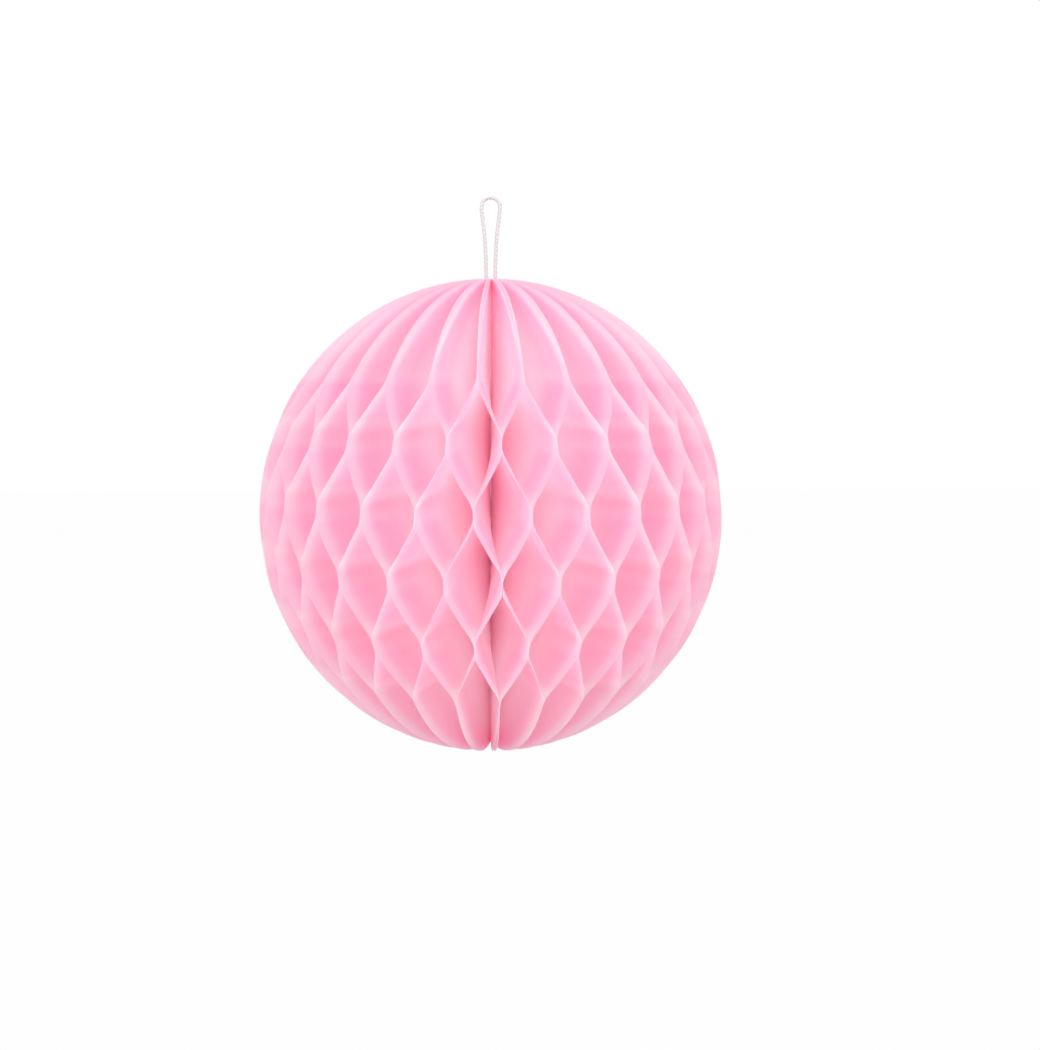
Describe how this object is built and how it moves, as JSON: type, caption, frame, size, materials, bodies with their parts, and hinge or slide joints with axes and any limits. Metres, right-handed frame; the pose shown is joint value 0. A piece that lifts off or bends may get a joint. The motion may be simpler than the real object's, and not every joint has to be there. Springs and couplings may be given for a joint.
{
  "type": "honeycomb paper ball",
  "caption": "Hanging party decoration: a ball of pink tissue leaves fanned round a spine and glued in staggered strips into honeycomb cells, with a loop of white string at the top.",
  "frame": {"origin": "centre of the ball, midway between its two poles on the spine", "axes": "+Z along the spine, up towards the hanging string; -Y is the side that the picture shows; +X to the right seen from there"},
  "size_m": [0.0978, 0.0978, 0.1171],
  "materials": {
    "tissue": "matt, slightly see-through pink tissue paper",
    "string": "white twisted thread"
  },
  "bodies": {
    "root": {"honeycomb_ball": "tissue", "hanging_string": "string"}
  },
  "joints": []
}
